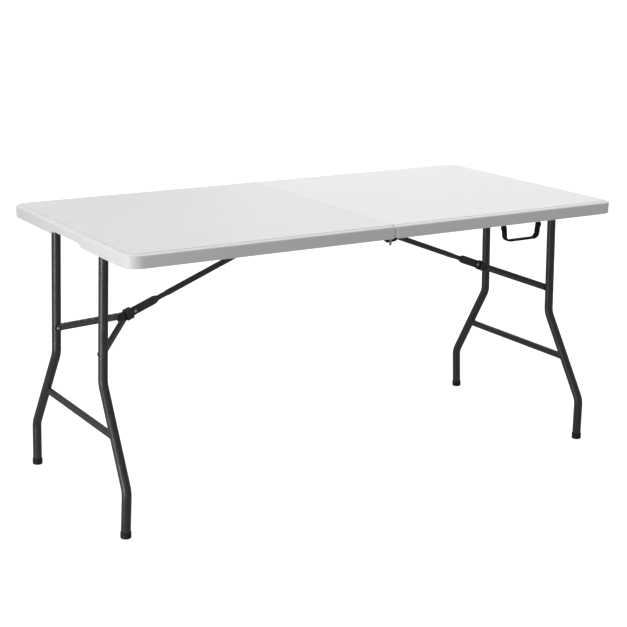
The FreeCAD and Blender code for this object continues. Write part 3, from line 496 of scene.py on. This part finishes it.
LEG_LEAN = 1.75
LEG_RADIUS = 12.5 * MM
LEG_TOP_Y, LEG_BEND_Y = 154.4 * MM, 302.5 * MM
LEG_BEND_TOP, LEG_BEND_LOW = 355.6 * MM, 596.1 * MM
BAR_DROP, BAR_OFFSET = 478.8 * MM, 2 * MM
BAR_HALF_DEPTH, BAR_HALF_HEIGHT = 5.5 * MM, 9.5 * MM
PIVOT_BEAD, BAR_BEAD = 1.5 * MM, 1.2 * MM


def leg_frame(side, sign):
    """The leg's own frame at its pivot: Z up the leg and X outwards."""
    mirror = Matrix.Scale(sign, 4, (1, 0, 0))
    lean = Matrix.Rotation(math.radians(-LEG_LEAN), 4, "Y")
    return Matrix.Translation(JOINTS[side + "_leg_fold"]["pos_m"]) @ mirror @ lean


def bead(mesh, points, radius, seed):
    """A lumpy weld bead round a closed row of points."""
    count = len(points)
    rings = []
    for n, point in enumerate(points):
        axis = (points[(n + 1) % count] - points[n - 1]).normalized()
        side = axis.cross(Vector((0.31, 0.53, 0.79))).normalized()
        lift = axis.cross(side)
        swell = radius * (1 + 0.16 * math.sin(n * 1.9 + seed)
                          + 0.12 * noise.noise(Vector((n * 0.6, seed, 0))))
        rings.append([point + side * (swell * math.cos(a)) + lift * (swell * math.sin(a))
                      for a in (2 * math.pi * k / 8 for k in range(8))])
    skin_rings(mesh, rings, closed=True)


def pivot_weld(where, across):
    """Where a leg meets the pivot tube, as points in the table's frame."""
    ring = []
    for n in range(40):
        angle = 2 * math.pi * n / 40
        x = LEG_RADIUS * math.cos(angle)
        y = across * LEG_TOP_Y + LEG_RADIUS * math.sin(angle)
        drop = math.sqrt(max(LEG_RADIUS ** 2 - x * x, 0.0))
        ring.append(where @ Vector((x * 1.03, y, -drop * 1.03)))
    return ring


def bar_weld(where, across):
    """Where the crossbar meets the splayed stretch of a leg."""
    run, fall = LEG_BEND_Y - LEG_TOP_Y, LEG_BEND_LOW - LEG_BEND_TOP
    tilt = math.atan2(run, fall)
    ring = []
    for dx, dz in superellipse(BAR_HALF_DEPTH, BAR_HALF_HEIGHT, 5, 36):
        x, z = -BAR_OFFSET + dx, -BAR_DROP + dz
        axis_y = LEG_TOP_Y + (-z - LEG_BEND_TOP) * run / fall
        y = axis_y - math.sqrt(max(LEG_RADIUS ** 2 - x * x, 0.0)) / math.cos(tilt)
        ring.append(where @ Vector((x, across * y, z)))
    return ring


def leg_welds():
    for side, sign in SIDES.items():
        where = leg_frame(side, sign)
        mesh = bmesh.new()
        for row, across in ROWS.items():
            bead(mesh, pivot_weld(where, across), PIVOT_BEAD, across + 2 * sign)
            bead(mesh, bar_weld(where, across), BAR_BEAD, across + 3 * sign)
        new_piece(side + "_leg_welds", mesh, WELD, side + "_legs", 60)


# ---- feet, handle and catches

FOOT_Y = 299.3 * MM
FOOT_RADIUS, FOOT_HEIGHT, FOOT_FLOOR = 14 * MM, 17 * MM, 718.96 * MM
SOLE_ROUND = 2.5 * MM


def feet():
    """Plastic feet: a rounded sole, a shallow groove and a rolled lip round the tube."""
    radius, height = FOOT_RADIUS, FOOT_HEIGHT
    profile = [(0.0, radius * 0.70), (0.0, radius * 0.82)]
    for n in range(1, 6):
        angle = math.pi / 2 * n / 5
        profile.append((SOLE_ROUND * (1 - math.cos(angle)),
                        radius - SOLE_ROUND * (1 - math.sin(angle))))
    profile += [(height * 0.62, radius), (height * 0.65, radius * 0.97),
                (height * 0.70, radius * 0.97), (height * 0.73, radius),
                (height - 0.8 * MM, radius), (height - 0.2 * MM, radius * 0.98),
                (height, radius * 0.95), (height, LEG_RADIUS * 1.005)]
    for side, sign in SIDES.items():
        for row, across in ROWS.items():
            mesh = bmesh.new()
            base = leg_frame(side, sign) @ Matrix.Translation(
                (0, across * FOOT_Y, -FOOT_FLOOR))
            lathe(mesh, profile, base, 48)
            piece = new_piece(f"{side}_{row}_foot", mesh, BLACK, side + "_legs")
            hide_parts(f"{side}_{row}_foot_cap")


STRAP_HALF_WIDTH, STRAP_HALF_THICK = 10 * MM, 2.3 * MM
BAIL_CORNER, BAIL_FLARE = 16 * MM, 2 * MM


def handle():
    """The bail: a strap with rounded edges, a U with eased corners and two round eyes."""
    low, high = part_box("carry_handle")
    pivot = Vector(JOINTS["handle_swing"]["pos_m"])
    half = (high.x - low.x) / 2 - STRAP_HALF_THICK
    bottom = low.z + STRAP_HALF_THICK - pivot.z
    path = [(-half, STRAP_HALF_WIDTH * share) for share in (0.985, 0.93, 0.8, 0.6, 0.35, 0.0)]
    middle = (-half + BAIL_FLARE + BAIL_CORNER, bottom + BAIL_CORNER)
    for n in range(13):
        angle = math.pi + math.pi / 2 * n / 12
        path.append((middle[0] + BAIL_CORNER * math.cos(angle),
                     middle[1] + BAIL_CORNER * math.sin(angle)))
    path += [(-x, z) for x, z in reversed(path)]
    mesh = bmesh.new()
    rings = []
    for n, (x, z) in enumerate(path):
        before, after = path[max(n - 1, 0)], path[min(n + 1, len(path) - 1)]
        run = Vector((after[0] - before[0], 0, after[1] - before[1])).normalized()
        across = Vector((-run.z, 0, run.x))
        width = STRAP_HALF_WIDTH
        if z > 0:
            width = math.sqrt(STRAP_HALF_WIDTH ** 2 - z * z)
        rings.append([pivot + Vector((x, 0, z)) + across * a + Vector((0, b, 0))
                      for a, b in superellipse(STRAP_HALF_THICK, width, 5, 28)])
    skin_rings(mesh, rings)
    piece = new_piece("carry_bail", mesh, SATIN, "handle", 50)
    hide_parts("carry_handle")


def catches():
    """Hinge catches: small plates with round ends and broken edges."""
    for row in ROWS:
        low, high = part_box(row + "_hinge_catch")
        half = (high.x - low.x) / 2
        thick = high.y - low.y
        straight = (high.z - low.z) / 2 - half
        middle = (low + high) / 2
        rings = []
        for depth, inset in ((0.0, 0.35), (0.2, 0.0), (0.8, 0.0), (1.0, 0.35)):
            reach = half - inset * MM
            ring = []
            for n in range(36):
                angle = 2 * math.pi * (n + 0.5) / 36
                lift = math.copysign(straight, math.sin(angle))
                ring.append(middle + Vector((reach * math.cos(angle),
                                             thick * (depth - 0.5),
                                             reach * math.sin(angle) + lift)))
            rings.append(ring)
        mesh = bmesh.new()
        skin_rings(mesh, rings)
        piece = new_piece(row + "_catch_plate", mesh, ZINC, row + "_catch", 30)
        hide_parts(row + "_hinge_catch")


# ---- the dressing of the CAD nodes

def dress_nodes():
    for name, obj in NODES.items():
        if "table_top" in name:
            material = TOP_LEFT_SHADED if name.startswith("left") else TOP_RIGHT_LIT
        elif "foot_cap" in name:
            material = BLACK
        elif "hinge_leaf" in name or "hinge_pin" in name or "handle" in name:
            material = SATIN
        elif "catch" in name or "screws" in name or "joint_rivet" in name:
            material = ZINC
        elif "side_rail" in name or "bracket" in name or "strut_pin" in name:
            material = HIDDEN_STEEL
        else:
            material = STEEL
        dress(obj, material)


# ---- studio

FLOOR_PROFILE = ((0.02, 0), (16, 0), (20, 0.6), (23, 2.5), (25, 6), (26, 14))
FLOOR_GLOW, SKY_LIGHT = 0.86, 0.34
CAMERA_PLACE = (-2.128, -3.399, 1.486)
YAW, PITCH, ROLL = 0.5566, 0.2608, 0.0137
FOCAL_LENGTH, SENSOR_WIDTH = 83.24, 36  # mm


def studio():
    """A pale floor that sweeps up far away, a plain sky and three soft lights."""
    floor = bmesh.new()
    rings = []
    for radius, height in FLOOR_PROFILE:
        rings.append([Vector((radius * math.cos(a), radius * math.sin(a), height))
                      for a in (2 * math.pi * n / 64 for n in range(64))])
    skin_rings(floor, rings, caps=False)
    bmesh.ops.contextual_create(floor, geom=[edge for edge in floor.edges if edge.is_boundary
                                             and edge.verts[0].co.length < 1])
    data = bpy.data.meshes.new("studio_floor")
    bmesh.ops.recalc_face_normals(floor, faces=floor.faces)
    floor.to_mesh(data)
    floor.free()
    data.polygons.foreach_set("use_smooth", [True] * len(data.polygons))
    obj = bpy.data.objects.new("studio_floor", data)
    bpy.context.scene.collection.objects.link(obj)
    obj.location.z = -0.5 * MM
    obj.visible_diffuse = False
    obj.visible_glossy = False
    paint = Paint("pale_floor", Specular_IOR_Level=0.0)
    paint.shader.inputs["Emission Color"].default_value = (1, 1, 1, 1)
    paint.shader.inputs["Emission Strength"].default_value = FLOOR_GLOW
    dress(obj, paint.done(paint.ramp(paint.noise(0.4), grey(0.40), grey(0.405)), 0.9))

    world = bpy.data.worlds.new("studio_world")
    bpy.context.scene.world = world
    world.use_nodes = True
    background = world.node_tree.nodes["Background"]
    background.inputs["Color"].default_value = (1, 1, 1, 1)
    background.inputs["Strength"].default_value = SKY_LIGHT

    def lamp(kind, name, energy, place, aim, **settings):
        data = bpy.data.lights.new(name, kind)
        data.energy = energy
        for key, setting in settings.items():
            setattr(data, key, setting)
        obj = bpy.data.objects.new(name, data)
        bpy.context.scene.collection.objects.link(obj)
        obj.location = place
        direction = Vector(aim) - Vector(place)
        obj.rotation_euler = direction.to_track_quat("-Z", "Y").to_euler()

    lamp("SUN", "overhead_sky", 2.05, (0.3, 1.0, 4), (0, 0, 0), angle=math.radians(60))
    lamp("AREA", "left_softbox", 21, (-2.3, -0.6, 0.32), (-0.74, 0, 0.32), shape="RECTANGLE",
         size=0.7, size_y=0.9)
    lamp("AREA", "far_softbox", 9, (2.6, 3.2, 1.2), (0.4, 0.2, 0.74), shape="RECTANGLE",
         size=2.2, size_y=0.8)


def camera():
    """The camera stands left of and in front of the table, a little above it."""
    data = bpy.data.cameras.new("camera")
    data.lens = FOCAL_LENGTH
    data.sensor_width = SENSOR_WIDTH
    obj = bpy.data.objects.new("camera", data)
    bpy.context.scene.collection.objects.link(obj)
    ahead = Vector((math.sin(YAW) * math.cos(PITCH), math.cos(YAW) * math.cos(PITCH),
                    -math.sin(PITCH)))
    right = Vector((math.cos(YAW), -math.sin(YAW), 0))
    up = right.cross(ahead)
    tilted_right = right * math.cos(ROLL) + up * math.sin(ROLL)
    tilted_up = up * math.cos(ROLL) - right * math.sin(ROLL)
    turn = Matrix((tilted_right, tilted_up, -ahead)).transposed().to_4x4()
    obj.matrix_world = Matrix.Translation(CAMERA_PLACE) @ turn
    bpy.context.scene.camera = obj


dress_nodes()
leg_welds()
all_rivets()
screws()
struts()
arms()
feet()
handle()
catches()
studio()
camera()
bpy.context.scene.view_settings.view_transform = "Standard"
